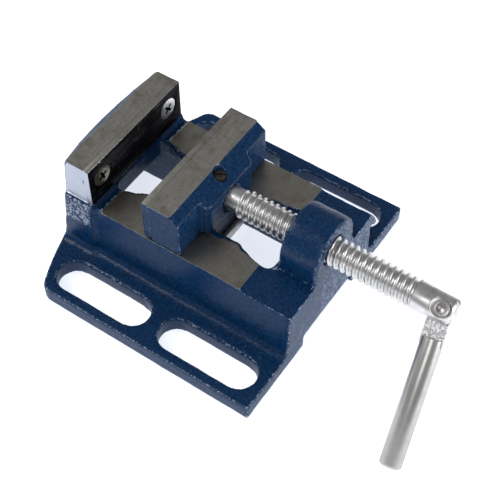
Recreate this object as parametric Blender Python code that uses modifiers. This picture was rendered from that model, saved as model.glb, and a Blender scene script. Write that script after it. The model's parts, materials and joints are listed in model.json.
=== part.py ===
"""Small drill-press vise: base casting with fixed jaw, sliding jaw, spindle and folding handle.

X runs along the spindle from the fixed jaw (-X) to the handle (+X), Y runs across the jaws and
Z is up. The origin is under the middle of the whole vise, on the plane of its underside.
"""

import math

import bmesh
import bpy
from mathutils import Matrix, Vector

MM = 0.001

# Clearances
GAP = 0.3 * MM                  # running gap between neighbouring pieces
OVERRUN = 2 * MM                # how far a cutter runs past the face that it opens
BURY = 2 * MM                   # how deep a joined lump reaches into its neighbour
WELD = 0.0001 * MM              # points closer than this are one point
SEAM = 0.01 * MM                # merging distance where a turned shape closes on itself

# Facets
TURN_STEPS = 32                 # around a turned shape
SCREW_STEPS = 28                # around a screw's head
BORE_STEPS = 40                 # around the spindle's bore
PIN_STEPS = 24                  # around a pin's hole
HOLE_STEPS = 20                 # around a screw's hole
BACK_STEPS = 160                # around the whole circle of the bowed back
BOW_STEPS = 10                  # along half of the bowed back edge
CORNER_STEPS = 4                # around a rounded corner
ROUND_END_STEPS = 10            # around the round end of a slot
ARCH_STEPS = 16                 # over the front boss
TONGUE_STEPS = 12               # around the handle's flattened end
FLARE_STEPS = 6                 # along the flare of the guide slot
SHARP_ANGLE = math.radians(35)  # edges sharper than this aren't shaded smooth

# Base casting
BASE_LENGTH = 125 * MM
FLANGE_REACH = 31.5 * MM        # flange width outside each rail
FLANGE_THICKNESS = 8.6 * MM
BACK_RADIUS = 139 * MM          # bowed back edge
BACK_DRAFT = 6.5 * MM           # how far the jaw's back leans in over its height
BASE_CORNER = 5 * MM
SLOT_WIDTH = 15.6 * MM
SLOT_EDGE = 5.1 * MM            # metal outside each slot
SLOT_FRONT = 5 * MM             # metal in front of the front slots
SLOT_BRIDGE = 7 * MM            # metal between two slots of a flange
SLOT_BACK = 15.5 * MM           # metal behind the back slots

# Ways: two rails with ledges over an open channel
WAY_HEIGHT = 36.7 * MM
WAY_DRAFT = 1.3 * MM
WAY_FOOT = 4 * MM               # concave fillet at the foot of a rail
LEDGE = 10 * MM                 # thickness of the ledges that the keeper hooks under
CHANNEL_HALF = 20 * MM
CHANNEL_WALL = 6.5 * MM         # wall behind the channel
GUIDE_HALF = 12 * MM            # half-width of the guide slot between the ledges
GUIDE_FLARE = 4.8 * MM          # how much wider the cast ends of the guide slot are
FLARE_BACK = 15 * MM            # length of the flared back end, from the fixed jaw's face
FLARE_FRONT = 15 * MM           # length of the flared front end, from the front wall
GUIDE_CORNER = 3.5 * MM
FRONT_WALL = 20 * MM            # front wall, from the guide slot to the front face
ARCH_HEIGHT = 7 * MM            # open arch under the front wall

# Jaws
JAW_WIDTH = 65 * MM
JAW_TOP = 59.7 * MM
JAW_OPENING = 28 * MM           # as the vise stands
JAW_ROOT = 23.2 * MM            # from the fixed jaw's gripping face to the back of the base
FIXED_TOP = 12 * MM             # ground top of the fixed jaw, gripping face to back edge
BEVEL_DROP = 3 * MM             # height of the sloped edge behind the ground top
BEVEL_RUN = 4.3 * MM
BEVEL_CUT = 4                   # length of the cutter for that edge, in edges
ROOT_PROUD = 1.5 * MM           # how far the jaw's foot stands out beyond its machined ends
PLATE_THICKNESS = 3 * MM
PLATE_FOOT = 38.3 * MM          # height of the plates' lower edges
MOVING_TOP = 13.8 * MM          # ground top of the moving jaw, gripping face to back edge
MOVING_SLOPE_RUN = 4.8 * MM
MOVING_SLOPE_DROP = 3.35 * MM
MOVING_BOSS_RUN = 4.25 * MM     # how far the rear boss stands out behind the jaw
MOVING_BOSS_HALF = 17 * MM
MOVING_BOSS_CORNER = 3 * MM
TONGUE_LENGTH = 18 * MM
TONGUE_INSET = 1 * MM           # from the back of the rear boss to the tongue

# Jaw plate screws
PLATE_SCREW_SPACING = 47 * MM
PLATE_SCREW_HEIGHT = 50 * MM
PLATE_SCREW_HEAD = 5.2 * MM     # radius of the countersunk head
COUNTERSINK_RIM = 0.6 * MM      # how much wider the countersink is than the head
PLATE_SCREW_SHANK = 2.4 * MM
PLATE_SCREW_LENGTH = 12 * MM
RECESS_SPAN = 5.2 * MM
RECESS_WIDTH = 1.3 * MM
RECESS_DEPTH = 1.8 * MM

# Front boss
BOSS_LENGTH = 18.5 * MM
BOSS_RADIUS = 15.6 * MM
BOSS_TOP = 59.4 * MM
BOSS_OFFSET = 1.2 * MM          # the cast boss sits a little to the far side

# Spindle
SPINDLE_HEIGHT = 46.2 * MM
THREAD_RADIUS = 6.6 * MM
THREAD_DEPTH = 1.3 * MM
THREAD_PITCH = 3 * MM
THREAD_CREST = 0.9 * MM         # flat on the crest
THREAD_FLANK = 0.65 * MM        # length of one sloping flank
THREAD_SPARE = 10.4 * MM        # thread still outside the boss with the jaws shut
NOSE_RADIUS = 5.5 * MM
NOSE_DEPTH = 15 * MM            # how deep the nose seats in the moving jaw
SHANK_OUT = 6 * MM              # plain shank between the jaw and the thread
GROOVE_RADIUS = 4 * MM
GROOVE_WIDTH = 4 * MM
HEAD_RADIUS = 6.3 * MM
HEAD_LENGTH = 17.7 * MM
HEAD_CHAMFER = 1.2 * MM
FORK_SLOT = 5.2 * MM
FORK_DEPTH = 12.5 * MM
PIVOT_INSET = 5.2 * MM          # pin centre from the end of the head
SPOT_RADIUS = 4.4 * MM          # flat around the pin's head
SPOT_FLAT = 5.2 * MM            # height of that flat above the spindle's axis
THREAD_STEPS = 18

# Retaining screw
RETAINER_RADIUS = 2.7 * MM
RETAINER_TIP = 1.4 * MM
RETAINER_SUNK = 2.6 * MM        # top of the screw below the jaw's top
RETAINER_BODY = 4 * MM
RETAINER_SLOT = 0.9 * MM

# Handle
HANDLE_LENGTH = 67 * MM
HANDLE_RADIUS = 4.75 * MM
HANDLE_CHAMFER = 1 * MM
HANDLE_LEAN = math.radians(8.5)     # lean of the folded handle away from the base
HANDLE_FLOOR = 1.6 * MM             # clearance of the handle's lowest corner
TONGUE_REACH = 12.5 * MM            # flattened end, from the pin to the bar's shoulder
PIN_RADIUS = 2.4 * MM
PIN_HEAD_RADIUS = 4 * MM
PIN_HEAD_HEIGHT = 0.7 * MM
PIN_DIMPLE = 1.7 * MM

# Keeper
KEEPER_THICKNESS = 5 * MM
KEEPER_LENGTH = 22 * MM
KEEPER_SCREW_SPACING = 10 * MM
KEEPER_SCREW_RADIUS = 2.4 * MM
KEEPER_HEAD_RADIUS = 4.2 * MM
KEEPER_HEAD_HEIGHT = 3.2 * MM
KEEPER_SCREW_ROOF = 2 * MM      # metal between the screws' holes and the spindle's bore
WASHER_RADIUS = 4.4 * MM
WASHER_THICKNESS = 1.2 * MM
WASHER_SPLIT = 0.8 * MM

# Sizes and places that follow from the ones above
HALF_JAW = JAW_WIDTH / 2
HALF_BASE = HALF_JAW + FLANGE_REACH
THREAD_OUT = JAW_OPENING - GAP + THREAD_SPARE
PIVOT_OUT = THREAD_OUT + HEAD_LENGTH - PIVOT_INSET
HANDLE_REACH = (HANDLE_LENGTH - HANDLE_CHAMFER) * math.sin(HANDLE_LEAN) \
    + HANDLE_RADIUS * math.cos(HANDLE_LEAN)
OVERHANG = max(THREAD_OUT + HEAD_LENGTH, PIVOT_OUT + HANDLE_REACH)
FRONT = (BASE_LENGTH - OVERHANG) / 2
REAR = FRONT - BASE_LENGTH
FIXED_FACE = REAR + JAW_ROOT
MOVING_FACE = FIXED_FACE + JAW_OPENING
FIXED_SEAT = FIXED_FACE - PLATE_THICKNESS - GAP
MOVING_SEAT = MOVING_FACE + PLATE_THICKNESS + GAP
MOVING_BACK = MOVING_FACE + MOVING_TOP + MOVING_SLOPE_RUN
BOSS_BACK = MOVING_BACK + MOVING_BOSS_RUN
JAW_FLOOR = WAY_HEIGHT + GAP
NOSE_TIP = BOSS_BACK - NOSE_DEPTH
RETAINER_X = MOVING_FACE + MOVING_TOP + RETAINER_RADIUS
THREAD_START = BOSS_BACK + SHANK_OUT
THREAD_END = FRONT + THREAD_OUT
HEAD_END = THREAD_END + HEAD_LENGTH
PIVOT_X = HEAD_END - PIVOT_INSET
CHANNEL_BACK = REAR + CHANNEL_WALL
CHANNEL_FRONT = FRONT - FRONT_WALL
CHANNEL_TOP = WAY_HEIGHT - LEDGE
KEEPER_TOP = CHANNEL_TOP - GAP
KEEPER_MIDDLE = BOSS_BACK - TONGUE_INSET - TONGUE_LENGTH / 2
ROOT_LEDGE = PLATE_FOOT - GAP

# Turn of the spindle that lets the handle's end down to just above the ground
DROP_REACH = HANDLE_LENGTH * math.cos(HANDLE_LEAN)
DROP_SWING = math.hypot(DROP_REACH, HANDLE_RADIUS)
HANDLE_DROP = math.asin((SPINDLE_HEIGHT - HANDLE_FLOOR) / DROP_SWING) \
    - math.atan2(HANDLE_RADIUS, DROP_REACH)

AXIS_TURNS = {"X": Matrix.Rotation(math.pi / 2, 4, "Y"), "Y": Matrix.Rotation(-math.pi / 2, 4, "X"),
              "Z": Matrix.Identity(4)}


def clear_scene():
    for thing in list(bpy.data.objects):
        bpy.data.objects.remove(thing, do_unlink=True)


def make_collection(name):
    collection = bpy.data.collections.new(name)
    bpy.context.scene.collection.children.link(collection)
    return collection


clear_scene()
PARTS = make_collection("drill_press_vise")
CUTTERS = make_collection("cutters")


def make_material(name, colour, roughness, metallic):
    material = bpy.data.materials.new(name)
    material.use_nodes = True
    shader = material.node_tree.nodes["Principled BSDF"]
    shader.inputs["Base Color"].default_value = (*colour, 1)
    shader.inputs["Roughness"].default_value = roughness
    shader.inputs["Metallic"].default_value = metallic
    return material


ENAMEL = ("blue_enamel", (0.012, 0.035, 0.10), 0.35, 0.0)
BLACK_STEEL = ("black_oxide_steel", (0.02, 0.02, 0.022), 0.4, 0.6)
ZINC = ("zinc_plate", (0.62, 0.62, 0.60), 0.3, 1.0)
STEEL = ("bright_steel", (0.55, 0.55, 0.53), 0.35, 1.0)
DARK_STEEL = ("dark_steel", (0.25, 0.25, 0.24), 0.45, 1.0)


# Shapes -------------------------------------------------------------------------------------

def add_object(name, mesh, parent=None):
    """Puts a mesh in the cutters; finish() moves the real pieces to the parts."""
    thing = bpy.data.objects.new(name, mesh)
    CUTTERS.objects.link(thing)
    thing.hide_render = True
    thing.display_type = "WIRE"
    thing.parent = parent
    return thing


def box(name, low, high, parent=None):
    low, high = Vector(low), Vector(high)
    bm = bmesh.new()
    bmesh.ops.create_cube(bm, size=1)
    bmesh.ops.scale(bm, vec=high - low, verts=bm.verts)
    bmesh.ops.translate(bm, vec=(low + high) / 2, verts=bm.verts)
    mesh = bpy.data.meshes.new(name)
    bm.to_mesh(mesh)
    bm.free()
    return add_object(name, mesh, parent)


def rod(name, radius, start, end, centre, axis="X", sides=TURN_STEPS, tip_radius=None, parent=None):
    """A cylinder, or a cone where tip_radius is given, between two places along an axis."""
    bm = bmesh.new()
    bmesh.ops.create_cone(bm, cap_ends=True, segments=sides, radius1=radius,
                          radius2=radius if tip_radius is None else tip_radius, depth=end - start)
    bmesh.ops.translate(bm, vec=(0, 0, (start + end) / 2), verts=bm.verts)
    bm.transform(Matrix.Translation(centre) @ AXIS_TURNS[axis])
    mesh = bpy.data.meshes.new(name)
    bm.to_mesh(mesh)
    bm.free()
    return add_object(name, mesh, parent)


def outline(name, points, low, high, axis="Z", parent=None):
    """A flat outline, extruded from low to high along an axis.

    The outline is in (X, Y) for Z, in (X, Z) for Y and in (Y, Z) for X.
    """
    curve = bpy.data.curves.new(name, "CURVE")
    curve.dimensions = "2D"
    curve.fill_mode = "BOTH"
    curve.extrude = (high - low) / 2
    spline = curve.splines.new("POLY")
    spline.points.add(len(points) - 1)
    for point, (u, v) in zip(spline.points, points):
        point.co = (u, v, 0, 1)
    spline.use_cyclic_u = True
    flat = bpy.data.objects.new(name, curve)
    CUTTERS.objects.link(flat)
    bpy.context.view_layer.update()
    mesh = bpy.data.meshes.new_from_object(flat.evaluated_get(bpy.context.evaluated_depsgraph_get()))
    bpy.data.objects.remove(flat)
    weld(mesh)
    turns = {"Z": Matrix.Identity(4), "Y": Matrix.Rotation(math.pi / 2, 4, "X"),
             "X": Matrix(((0, 0, 1, 0), (1, 0, 0, 0), (0, 1, 0, 0), (0, 0, 0, 1)))}
    middle = (low + high) / 2
    shift = {"Z": (0, 0, middle), "Y": (0, middle, 0), "X": (middle, 0, 0)}
    mesh.transform(Matrix.Translation(shift[axis]) @ turns[axis])
    return add_object(name, mesh, parent)


def weld(mesh):
    bm = bmesh.new()
    bm.from_mesh(mesh)
    bmesh.ops.remove_doubles(bm, verts=bm.verts, dist=WELD)
    bmesh.ops.recalc_face_normals(bm, faces=bm.faces)
    bm.to_mesh(mesh)
    bm.free()


def turned(name, profile, steps=TURN_STEPS, axis="Z", centre=(0, 0, 0), parent=None):
    """A solid of revolution from (radius, place) pairs that run down the outer side."""
    mesh = bpy.data.meshes.new(name)
    points = [(radius, 0, place) for radius, place in profile]
    mesh.from_pydata(points, [(i, i + 1) for i in range(len(points) - 1)], [])
    shape = add_object(name, mesh)
    screw = shape.modifiers.new("turn", "SCREW")
    screw.axis = "Z"
    screw.steps = steps
    screw.render_steps = steps
    screw.use_merge_vertices = True
    screw.merge_threshold = SEAM
    settle(shape)
    shape.data.transform(Matrix.Translation(centre) @ AXIS_TURNS[axis])
    shape.parent = parent
    return shape


def settle(shape):
    """Replaces an object's mesh with its evaluated mesh."""
    bpy.context.view_layer.update()
    mesh = bpy.data.meshes.new_from_object(shape.evaluated_get(bpy.context.evaluated_depsgraph_get()))
    shape.modifiers.clear()
    shape.data = mesh
    weld(mesh)


def combine(shape, tool, operation="UNION"):
    """Joins, cuts or clips a shape with another one, and removes the tool."""
    step = shape.modifiers.new(operation.lower(), "BOOLEAN")
    step.operation = operation
    step.object = tool
    step.solver = "EXACT"
    settle(shape)
    bpy.data.objects.remove(tool)


def cut(shape, *tools):
    for tool in tools:
        combine(shape, tool, "DIFFERENCE")


def join(shape, *tools):
    for tool in tools:
        combine(shape, tool, "UNION")


def finish(shape, name, look):
    """Names a piece, gives it its material and puts it among the parts."""
    shape.name = name
    shape.data.name = name
    shape.data.materials.clear()
    shape.data.materials.append(make_material(name + "_" + look[0], *look[1:]))
    shape.data.shade_smooth()
    shape.data.set_sharp_from_angle(angle=SHARP_ANGLE)
    CUTTERS.objects.unlink(shape)
    PARTS.objects.link(shape)
    shape.hide_render = False
    shape.display_type = "TEXTURED"
    return shape


def arc(centre, radius, start, end, steps):
    """Points on an arc, its angles in degrees."""
    angles = [math.radians(start + (end - start) * i / steps) for i in range(steps + 1)]
    return [(centre[0] + radius * math.cos(a), centre[1] + radius * math.sin(a)) for a in angles]


def mirrored(points):
    """A half outline at +v, followed by its reflection, as one closed loop."""
    return points + [(u, -v) for u, v in reversed(points)]


# Base casting -------------------------------------------------------------------------------

def flange_outline():
    """Square front, bowed back with small rounded corners."""
    middle = REAR + BACK_RADIUS
    across = HALF_BASE - BASE_CORNER
    inner = BACK_RADIUS - BASE_CORNER
    corner = (middle - math.sqrt(inner ** 2 - across ** 2), across)
    bow = math.degrees(math.asin(across / inner))
    half = [(FRONT, HALF_BASE)] + arc(corner, BASE_CORNER, 90, 180 - bow, CORNER_STEPS)
    half += arc((middle, 0), BACK_RADIUS, 180 - bow, 180, BOW_STEPS)[1:-1]
    return half + [(REAR, 0)] + [(x, -y) for x, y in reversed(half)]


def foot_section(half_width, height):
    """Cross-section of a drafted rib with a concave fillet at its foot."""
    foot = half_width + WAY_DRAFT
    half = [(half_width, height)]
    half += arc((foot + WAY_FOOT, FLANGE_THICKNESS + WAY_FOOT), WAY_FOOT, 180, 270, CORNER_STEPS)
    half += [(foot + WAY_FOOT, FLANGE_THICKNESS - BURY)]
    return [(-y, z) for y, z in reversed(half)] + half


def back_form(name):
    """The turned shape whose wall is the drafted, bowed back of the fixed jaw."""
    profile = [(0, JAW_TOP + OVERRUN), (BACK_RADIUS - BACK_DRAFT, JAW_TOP + OVERRUN),
               (BACK_RADIUS, 0), (0, 0)]
    return turned(name, profile, steps=BACK_STEPS, centre=(REAR + BACK_RADIUS, 0, 0))


def fixed_jaw():
    jaw = outline("jaw_root", foot_section(HALF_JAW + ROOT_PROUD, ROOT_LEDGE),
                  REAR - OVERRUN, FIXED_FACE, "X")
    head = box("jaw_head", (REAR - OVERRUN, -HALF_JAW, ROOT_LEDGE - BURY),
               (FIXED_SEAT, HALF_JAW, JAW_TOP))
    join(jaw, head)
    combine(jaw, back_form("jaw_back"), "INTERSECT")
    top_edge = FIXED_FACE - FIXED_TOP
    bevel = [(top_edge + BEVEL_RUN, JAW_TOP + BEVEL_DROP),
             (top_edge - BEVEL_RUN * BEVEL_CUT, JAW_TOP - BEVEL_DROP * BEVEL_CUT),
             (top_edge - BEVEL_RUN * BEVEL_CUT, JAW_TOP + BEVEL_DROP)]
    cut(jaw, outline("jaw_bevel", bevel, -HALF_BASE, HALF_BASE, "Y"))
    return jaw


def front_boss():
    """Arched housing that the spindle screws through."""
    middle = BOSS_TOP - BOSS_RADIUS
    arch = arc((BOSS_OFFSET, middle), BOSS_RADIUS, 0, 180, ARCH_STEPS)
    foot = [(BOSS_OFFSET - BOSS_RADIUS, WAY_HEIGHT - BURY),
            (BOSS_OFFSET + BOSS_RADIUS, WAY_HEIGHT - BURY)]
    return outline("front_boss", arch + foot, FRONT - BOSS_LENGTH, FRONT, "X")


def guide_outline():
    """Slot between the ledges: straight where the tongue runs, wider at its cast ends."""
    wide = GUIDE_HALF + GUIDE_FLARE
    flare_start = FIXED_FACE + FLARE_BACK
    half = [(FIXED_FACE, wide), (FIXED_FACE + FLARE_BACK / 3, wide), (flare_start, GUIDE_HALF)]
    for i in range(FLARE_STEPS + 1):
        share = i / FLARE_STEPS
        half.append((CHANNEL_FRONT - FLARE_FRONT - GUIDE_CORNER + FLARE_FRONT * share,
                     GUIDE_HALF + (wide - GUIDE_HALF) * math.sin(share * math.pi / 2)))
    half += arc((CHANNEL_FRONT - GUIDE_CORNER, wide - GUIDE_CORNER), GUIDE_CORNER, 90, 0,
                CORNER_STEPS)[1:]
    return mirrored(half)


def slot_cutter(centre_x, centre_y, length):
    radius = SLOT_WIDTH / 2
    run = length / 2 - radius
    points = arc((centre_x + run, centre_y), radius, -90, 90, ROUND_END_STEPS)
    points += arc((centre_x - run, centre_y), radius, 90, 270, ROUND_END_STEPS)
    return outline("bolt_slot", points, -OVERRUN, FLANGE_THICKNESS + WAY_FOOT, "Z")


def bolt_slots():
    length = (BASE_LENGTH - SLOT_FRONT - SLOT_BRIDGE - SLOT_BACK) / 2
    across = HALF_BASE - SLOT_EDGE - SLOT_WIDTH / 2
    front = FRONT - SLOT_FRONT - length / 2
    back = front - length - SLOT_BRIDGE
    return [slot_cutter(x, side * across, length) for x in (front, back) for side in (-1, 1)]


def plate_screw_holes(seat, depth, side):
    """Blind holes behind a jaw plate; side is +1 where the metal lies toward +X."""
    low, high = sorted((seat - side * OVERRUN, seat + side * depth))
    return [rod("screw_hole", PLATE_SCREW_SHANK + GAP, low, high, (0, y, PLATE_SCREW_HEIGHT),
                sides=HOLE_STEPS)
            for y in (-PLATE_SCREW_SPACING / 2, PLATE_SCREW_SPACING / 2)]


def base_casting():
    base = outline("base_casting", flange_outline(), 0, FLANGE_THICKNESS, "Z")
    rails = outline("rails", foot_section(HALF_JAW, WAY_HEIGHT), FIXED_FACE - BURY, FRONT, "X")
    join(base, rails, fixed_jaw(), front_boss())
    cut(base, outline("guide_slot", guide_outline(), CHANNEL_TOP - BURY, WAY_HEIGHT + OVERRUN, "Z"))
    cut(base, box("channel", (CHANNEL_BACK, -CHANNEL_HALF, -OVERRUN),
                  (CHANNEL_FRONT, CHANNEL_HALF, CHANNEL_TOP)))
    cut(base, box("front_arch", (CHANNEL_FRONT - BURY, -CHANNEL_HALF, -OVERRUN),
                  (FRONT + OVERRUN, CHANNEL_HALF, ARCH_HEIGHT)))
    cut(base, *bolt_slots())
    cut(base, rod("spindle_bore", THREAD_RADIUS + GAP, FRONT - BOSS_LENGTH - OVERRUN,
                  FRONT + OVERRUN, (0, 0, SPINDLE_HEIGHT), sides=BORE_STEPS))
    cut(base, *plate_screw_holes(FIXED_SEAT, PLATE_SCREW_LENGTH, -1))
    return finish(base, "base_casting", ENAMEL)


# Jaws ---------------------------------------------------------------------------------------

def jaw_plate(name, face, side, look):
    """Steel plate whose gripping face is at face; side is +1 where the jaw lies toward +X."""
    back = face + side * PLATE_THICKNESS
    low, high = sorted((face, back))
    plate = box(name, (low, -HALF_JAW, PLATE_FOOT), (high, HALF_JAW, JAW_TOP))
    for y in (-PLATE_SCREW_SPACING / 2, PLATE_SCREW_SPACING / 2):
        rim = PLATE_SCREW_HEAD + COUNTERSINK_RIM
        profile = [(0, OVERRUN), (rim + OVERRUN, OVERRUN), (rim, 0),
                   (PLATE_SCREW_SHANK + GAP, -countersink_depth()),
                   (PLATE_SCREW_SHANK + GAP, -PLATE_THICKNESS - OVERRUN),
                   (0, -PLATE_THICKNESS - OVERRUN)]
        sink = turned("countersink", profile, steps=SCREW_STEPS)
        place_screw_shape(sink, face, side, y)
        cut(plate, sink)
    return finish(plate, name, look)


def countersink_depth():
    """Depth of the head's cone, which leaves a thin rim of plate below it."""
    return min(PLATE_SCREW_HEAD - PLATE_SCREW_SHANK, PLATE_THICKNESS - GAP)


def place_screw_shape(shape, face, side, y):
    """Turns a shape built along +Z (its outer end up) to stick out of a plate's face."""
    turn = Matrix.Rotation(-side * math.pi / 2, 4, "Y")
    shape.data.transform(Matrix.Translation((face, y, PLATE_SCREW_HEIGHT)) @ turn)


def plate_screw(name, face, side, y):
    """Countersunk screw with a cross recess."""
    depth = countersink_depth()
    profile = [(0, 0), (PLATE_SCREW_HEAD, 0), (PLATE_SCREW_SHANK, -depth),
               (PLATE_SCREW_SHANK, -PLATE_SCREW_LENGTH + GAP), (0, -PLATE_SCREW_LENGTH + GAP)]
    screw = turned(name, profile, steps=SCREW_STEPS)
    half, width = RECESS_SPAN / 2, RECESS_WIDTH / 2
    cut(screw, box("recess_a", (-half, -width, -RECESS_DEPTH), (half, width, OVERRUN)),
        box("recess_b", (-width, -half, -RECESS_DEPTH), (width, half, OVERRUN)))
    place_screw_shape(screw, face, side, y)
    return finish(screw, name, ZINC)


def moving_jaw():
    foot = JAW_FLOOR - OVERRUN
    section = [(MOVING_SEAT, foot), (MOVING_SEAT, JAW_TOP), (MOVING_FACE + MOVING_TOP, JAW_TOP),
               (MOVING_BACK, JAW_TOP - MOVING_SLOPE_DROP), (MOVING_BACK, foot)]
    jaw = outline("moving_jaw", section, -HALF_JAW, HALF_JAW, "Y")
    join(jaw, jaw_boss())
    cut(jaw, box("way_clearance", (MOVING_SEAT - OVERRUN, -HALF_BASE, foot - OVERRUN),
                 (BOSS_BACK + OVERRUN, HALF_BASE, JAW_FLOOR)))
    join(jaw, guide_tongue())
    cut(jaw, rod("nose_bore", NOSE_RADIUS + GAP, NOSE_TIP - GAP, BOSS_BACK + OVERRUN,
                 (0, 0, SPINDLE_HEIGHT)))
    cut(jaw, rod("retainer_hole", RETAINER_RADIUS + GAP, SPINDLE_HEIGHT, JAW_TOP + OVERRUN,
                 (RETAINER_X, 0, 0), "Z", sides=PIN_STEPS))
    cut(jaw, *plate_screw_holes(MOVING_SEAT, PLATE_SCREW_LENGTH - PLATE_THICKNESS, 1))
    for x in keeper_screw_places():
        cut(jaw, rod("keeper_hole", KEEPER_SCREW_RADIUS + GAP, KEEPER_TOP - OVERRUN,
                     keeper_screw_top() + GAP, (x, 0, 0), "Z", sides=HOLE_STEPS))
    return finish(jaw, "moving_jaw", ENAMEL)


def jaw_boss():
    """Rear boss around the spindle's nose, its top carrying on the jaw's slope."""
    slope = MOVING_SLOPE_DROP / MOVING_SLOPE_RUN
    root = MOVING_BACK - BURY
    shoulder = JAW_TOP - MOVING_SLOPE_DROP
    foot = JAW_FLOOR - OVERRUN
    section = [(root, foot), (root, shoulder), (MOVING_BACK, shoulder),
               (BOSS_BACK, shoulder - slope * MOVING_BOSS_RUN), (BOSS_BACK, foot)]
    boss = outline("jaw_boss", section, -MOVING_BOSS_HALF, MOVING_BOSS_HALF, "Y")
    corner = MOVING_BOSS_CORNER
    half = [(root, MOVING_BOSS_HALF)]
    half += arc((BOSS_BACK - corner, MOVING_BOSS_HALF - corner), corner, 90, 0,
                CORNER_STEPS)
    combine(boss, outline("boss_plan", mirrored(half), 0, JAW_TOP, "Z"), "INTERSECT")
    return boss


def guide_tongue():
    """Block under the jaw that runs between the ledges and carries the keeper."""
    half = GUIDE_HALF - GAP
    return box("guide_tongue", (KEEPER_MIDDLE - TONGUE_LENGTH / 2, -half, CHANNEL_TOP),
               (KEEPER_MIDDLE + TONGUE_LENGTH / 2, half, JAW_FLOOR + BURY))


# Keeper -------------------------------------------------------------------------------------

def keeper_screw_places():
    return (KEEPER_MIDDLE - KEEPER_SCREW_SPACING / 2, KEEPER_MIDDLE + KEEPER_SCREW_SPACING / 2)


def keeper_screw_top():
    """Top of the screws, with metal left below the spindle's nose."""
    return SPINDLE_HEIGHT - NOSE_RADIUS - GAP - KEEPER_SCREW_ROOF


def keeper_plate():
    bottom = KEEPER_TOP - KEEPER_THICKNESS
    half = CHANNEL_HALF - 2 * GAP
    plate = box("keeper_plate", (KEEPER_MIDDLE - KEEPER_LENGTH / 2, -half, bottom),
                (KEEPER_MIDDLE + KEEPER_LENGTH / 2, half, KEEPER_TOP))
    for x in keeper_screw_places():
        cut(plate, rod("keeper_clearance", KEEPER_SCREW_RADIUS + GAP, bottom - OVERRUN,
                       KEEPER_TOP + OVERRUN, (x, 0, 0), "Z", sides=HOLE_STEPS))
    return finish(plate, "keeper_plate", STEEL)


def keeper_washer(name, x):
    """Split spring washer."""
    top = KEEPER_TOP - KEEPER_THICKNESS - GAP
    bottom = top - WASHER_THICKNESS
    washer = rod(name, WASHER_RADIUS, bottom, top, (x, 0, 0), "Z")
    cut(washer, rod("washer_hole", KEEPER_SCREW_RADIUS + GAP, bottom - OVERRUN, top + OVERRUN,
                    (x, 0, 0), "Z", sides=HOLE_STEPS))
    cut(washer, box("washer_split", (x - WASHER_SPLIT / 2, 0, bottom - OVERRUN),
                    (x + WASHER_SPLIT / 2, WASHER_RADIUS + OVERRUN, top + OVERRUN)))
    return finish(washer, name, ZINC)


def keeper_screw(name, x):
    """Hexagon-headed screw from below, through washer and keeper into the tongue."""
    seat = KEEPER_TOP - KEEPER_THICKNESS - WASHER_THICKNESS - 2 * GAP
    screw = rod(name, KEEPER_HEAD_RADIUS, seat - KEEPER_HEAD_HEIGHT, seat, (x, 0, 0), "Z", sides=6)
    join(screw, rod("shank", KEEPER_SCREW_RADIUS, seat - BURY, keeper_screw_top(), (x, 0, 0), "Z",
                    sides=HOLE_STEPS))
    return finish(screw, name, ZINC)


# Spindle and handle -------------------------------------------------------------------------

def spindle_frame():
    """Empty on the spindle's axis, turned so that its -Y points along the handle's drop."""
    frame = bpy.data.objects.new("spindle_axis", None)
    frame.location = (0, 0, SPINDLE_HEIGHT)
    frame.rotation_euler = (HANDLE_DROP, 0, 0)
    PARTS.objects.link(frame)
    return frame


def handle_frame(parent):
    """Empty on the handle's pin, turned so that its -Y runs along the handle."""
    frame = bpy.data.objects.new("handle_axis", None)
    frame.location = (PIVOT_X, 0, 0)
    frame.rotation_euler = (0, 0, HANDLE_LEAN)
    frame.parent = parent
    PARTS.objects.link(frame)
    return frame


def thread_rod():
    """Threaded length: one pitch of the profile wound into a screw, then trimmed to length."""
    root = THREAD_RADIUS - THREAD_DEPTH
    crest_start = THREAD_FLANK
    crest_end = crest_start + THREAD_CREST
    profile = [(root, THREAD_PITCH), (root, crest_end + THREAD_FLANK), (THREAD_RADIUS, crest_end),
               (THREAD_RADIUS, crest_start), (root, 0)]
    mesh = bpy.data.meshes.new("thread")
    mesh.from_pydata([(r, 0, z) for r, z in profile], [(i, i + 1) for i in range(4)], [])
    thread = add_object("thread", mesh)
    screw = thread.modifiers.new("wind", "SCREW")
    screw.axis = "Z"
    screw.screw_offset = THREAD_PITCH
    screw.iterations = math.ceil((THREAD_END - THREAD_START) / THREAD_PITCH) + 2
    screw.steps = THREAD_STEPS
    screw.render_steps = THREAD_STEPS
    screw.use_merge_vertices = True
    screw.merge_threshold = SEAM
    settle(thread)
    thread.data.transform(AXIS_TURNS["X"] @ Matrix.Translation((0, 0, THREAD_START - THREAD_PITCH * 1.5)))
    trim(thread.data, THREAD_START, THREAD_END)
    return thread


def trim(mesh, low, high):
    """Cuts a wound thread off square at both ends and caps it."""
    bm = bmesh.new()
    bm.from_mesh(mesh)
    for place, direction in ((low, -1), (high, 1)):
        everything = bm.verts[:] + bm.edges[:] + bm.faces[:]
        bmesh.ops.bisect_plane(bm, geom=everything, dist=WELD, plane_co=(place, 0, 0),
                               plane_no=(direction, 0, 0), clear_outer=True)
    bmesh.ops.holes_fill(bm, edges=[edge for edge in bm.edges if edge.is_boundary])
    bmesh.ops.recalc_face_normals(bm, faces=bm.faces)
    bm.to_mesh(mesh)
    bm.free()


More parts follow.
